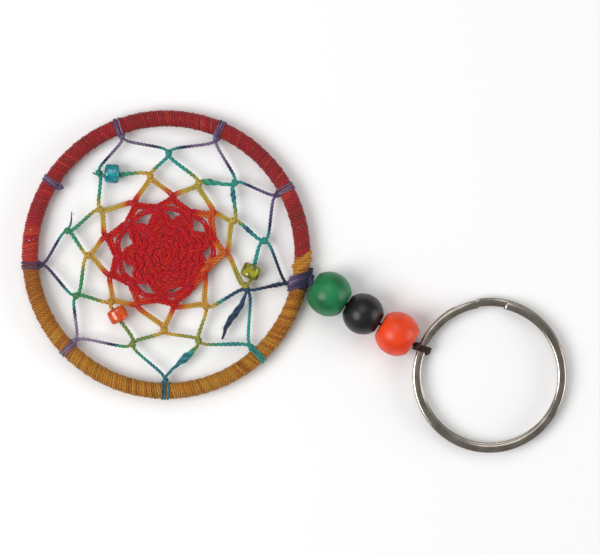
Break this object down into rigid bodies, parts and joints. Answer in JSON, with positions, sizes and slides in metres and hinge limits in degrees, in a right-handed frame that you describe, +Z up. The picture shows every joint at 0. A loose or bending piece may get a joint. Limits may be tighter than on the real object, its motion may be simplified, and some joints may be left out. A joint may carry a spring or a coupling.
{
  "type": "dream catcher keyring",
  "caption": "Small dream catcher keyring: a thread-wound hoop with a knotted web and glass beads, a looped string of wooden beads, and a split ring.",
  "frame": {"origin": "centre of the hoop, on the surface that the keyring lies on", "axes": "+Z up out of the hoop's plane, +X from the hoop's centre through the tie where the bead string is looped on, towards the key ring"},
  "size_m": [0.0911, 0.047, 0.0073],
  "materials": {
    "steel_wire": "drawn steel wire",
    "red_thread": "waxed thread, wound",
    "gold_thread": "waxed thread, wound",
    "violet_thread": "waxed thread",
    "slate_thread": "waxed thread",
    "teal_thread": "waxed thread",
    "yellow_thread": "waxed thread",
    "amber_thread": "waxed thread",
    "crimson_thread": "waxed thread, woven close",
    "teal_glass": "opaque glass",
    "olive_glass": "opaque glass",
    "orange_glass": "opaque glass",
    "dark_cord": "waxed cord",
    "green_wood": "gloss paint on wood",
    "black_wood": "gloss paint on wood",
    "orange_wood": "gloss paint on wood",
    "nickel": "nickel-plated steel"
  },
  "bodies": {
    "hoop": {"hoop_wire": "steel_wire", "wrap_red": "red_thread", "wrap_gold": "gold_thread", "wrap_end": "gold_thread", "web_hitches": "violet_thread", "web_round_1": "slate_thread", "web_round_2": "teal_thread", "web_round_3": "yellow_thread", "web_round_4": "amber_thread", "web_centre": "crimson_thread", "loose_tail": "slate_thread"},
    "glass_bead_teal": {"seed_bead_teal": "teal_glass"},
    "glass_bead_olive": {"seed_bead_olive": "olive_glass"},
    "glass_bead_orange": {"seed_bead_orange": "orange_glass"},
    "hoop_hitch": {"hoop_loop": "dark_cord"},
    "string": {"bead_cord": "dark_cord"},
    "green_bead": {"bead_green": "green_wood"},
    "black_bead": {"bead_black": "black_wood"},
    "orange_bead": {"bead_orange": "orange_wood"},
    "ring_hitch": {"ring_loop": "dark_cord"},
    "key_ring": {"split_ring": "nickel"}
  },
  "joints": [
    {"name": "string_swing", "type": "hinge", "parent": "hoop", "child": "hoop_hitch", "pos_m": [0.02215, 0, 0.0019], "axis": [0, 1, 0], "range_deg": [-110, 110]},
    {"name": "string_sway", "type": "hinge", "parent": "hoop_hitch", "child": "string", "pos_m": [0.02215, 0, 0.0019], "axis": [0, 0, 1], "range_deg": [-1, 41]},
    {"name": "green_bead_spin", "type": "hinge", "parent": "string", "child": "green_bead", "pos_m": [0.02718, -0.00193, 0.00365], "axis": [0.9336, -0.3584, 0], "continuous": true},
    {"name": "black_bead_spin", "type": "hinge", "parent": "string", "child": "black_bead", "pos_m": [0.03311, -0.00421, 0.00365], "axis": [0.9336, -0.3584, 0], "continuous": true},
    {"name": "orange_bead_spin", "type": "hinge", "parent": "string", "child": "orange_bead", "pos_m": [0.03904, -0.00648, 0.00365], "axis": [0.9336, -0.3584, 0], "continuous": true},
    {"name": "ring_swing", "type": "hinge", "parent": "string", "child": "ring_hitch", "pos_m": [0.04356, -0.00822, 0.00155], "axis": [0.2079, 0.9781, 0], "range_deg": [-120, 120]},
    {"name": "ring_spin", "type": "hinge", "parent": "ring_hitch", "child": "key_ring", "pos_m": [0.0551, -0.01067, 0.00155], "axis": [0, 0, 1], "continuous": true},
    {"name": "teal_bead_spin", "type": "hinge", "parent": "hoop", "child": "glass_bead_teal", "pos_m": [-0.01083, 0.01153, 0.0019], "axis": [0.9938, 0.1114, 0], "continuous": true},
    {"name": "olive_bead_spin", "type": "hinge", "parent": "hoop", "child": "glass_bead_olive", "pos_m": [0.01409, -0.00043, 0.0019], "axis": [0.2345, 0.9721, 0], "continuous": true},
    {"name": "orange_glass_spin", "type": "hinge", "parent": "hoop", "child": "glass_bead_orange", "pos_m": [-0.00614, -0.01097, 0.0019], "axis": [0.5998, -0.8001, 0], "continuous": true}
  ]
}
